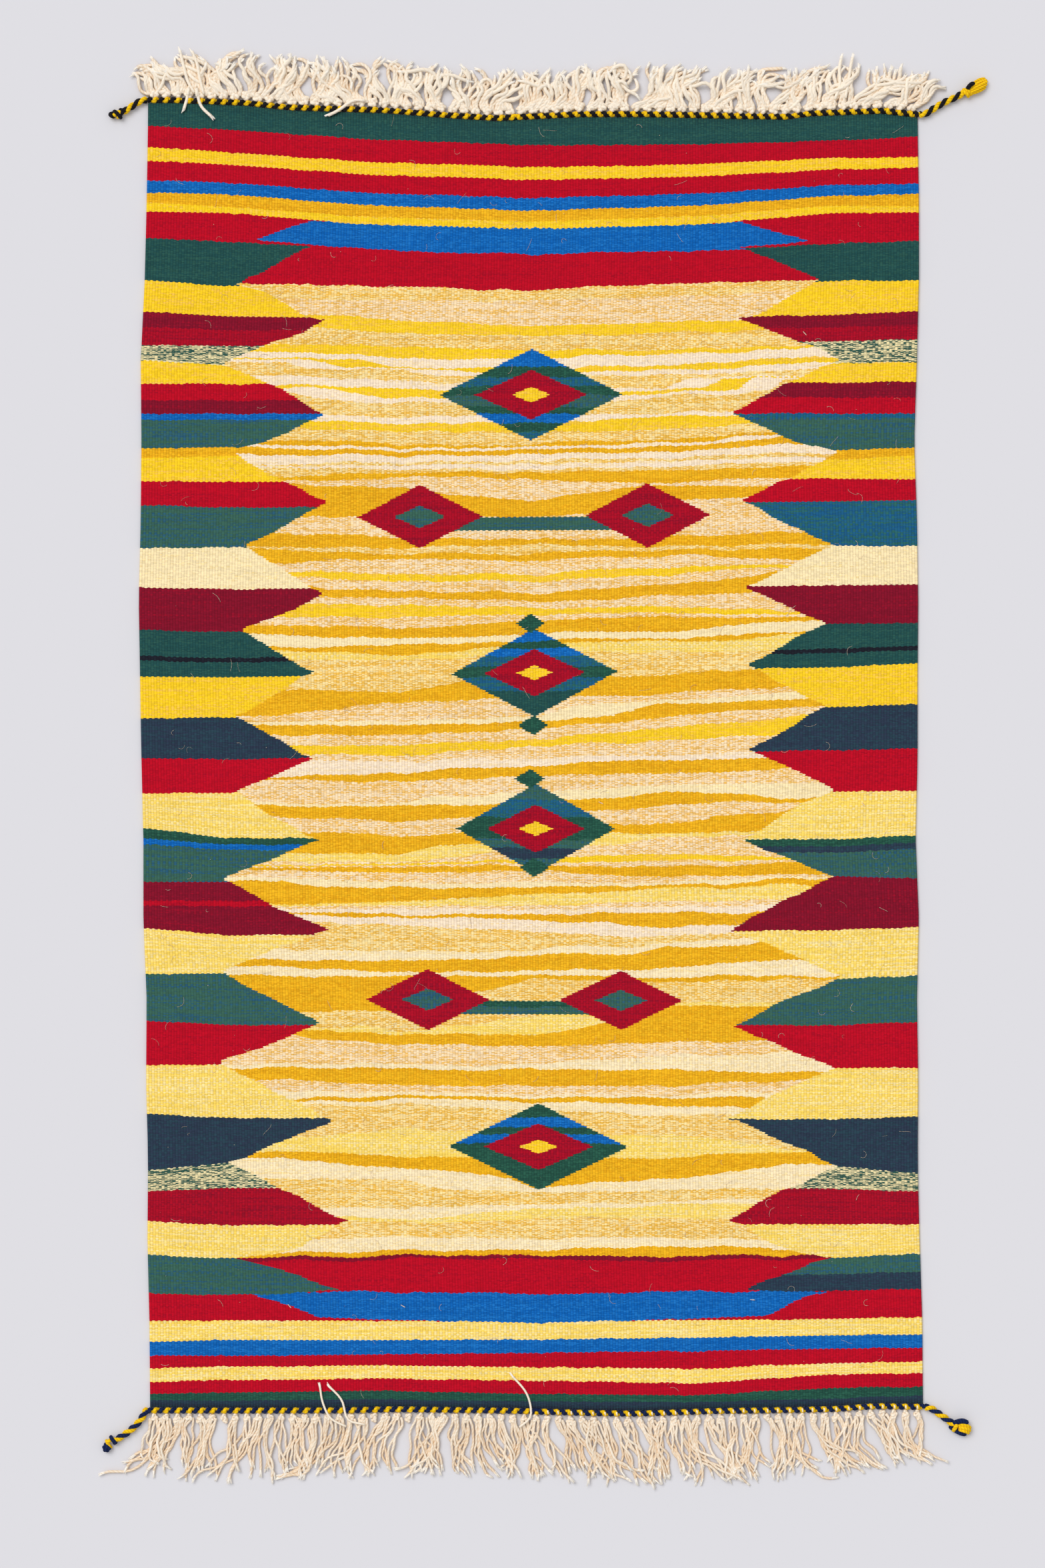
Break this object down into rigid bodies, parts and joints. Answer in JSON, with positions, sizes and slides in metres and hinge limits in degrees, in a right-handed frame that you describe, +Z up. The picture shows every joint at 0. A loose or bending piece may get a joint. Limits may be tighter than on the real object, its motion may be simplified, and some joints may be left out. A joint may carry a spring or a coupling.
{
  "type": "kilim rug",
  "caption": "Flat-woven wool kilim rug lying flat, with striped toothed sides, stepped diamonds down the middle, twined ends, knotted cotton fringes and twisted corner tails.",
  "frame": {"origin": "middle of the rug on the underside of the woven field", "axes": "+Y along the warps towards the head end, +X along the wefts towards the right selvedge seen from above, +Z up through the cloth"},
  "size_m": [0.793, 1.2879, 0.0097],
  "materials": {
    "woven_wool": "weft-faced wool weave in red, maroon, yellow, cream, green, teal, blue and navy",
    "head_twine": "twined wool, yellow and black",
    "foot_twine": "twined wool, yellow and navy",
    "warp_cotton": "plied undyed cotton with frayed ends",
    "head_knot": "knotted wool, black and yellow",
    "foot_knot": "knotted wool, navy and yellow"
  },
  "bodies": {
    "root": {"woven_field": "woven_wool", "twined_edge_head": "head_twine", "twined_edge_foot": "foot_twine", "warp_fringe_head": "warp_cotton", "warp_fringe_foot": "warp_cotton", "corner_tail_head_left": "head_twine", "corner_tail_head_right": "head_twine", "corner_tail_foot_left": "foot_twine", "corner_tail_foot_right": "foot_twine", "tail_knot_head_left": "head_knot", "tail_knot_head_right": "head_knot", "tail_knot_foot_left": "foot_knot", "tail_knot_foot_right": "foot_knot"}
  },
  "joints": []
}
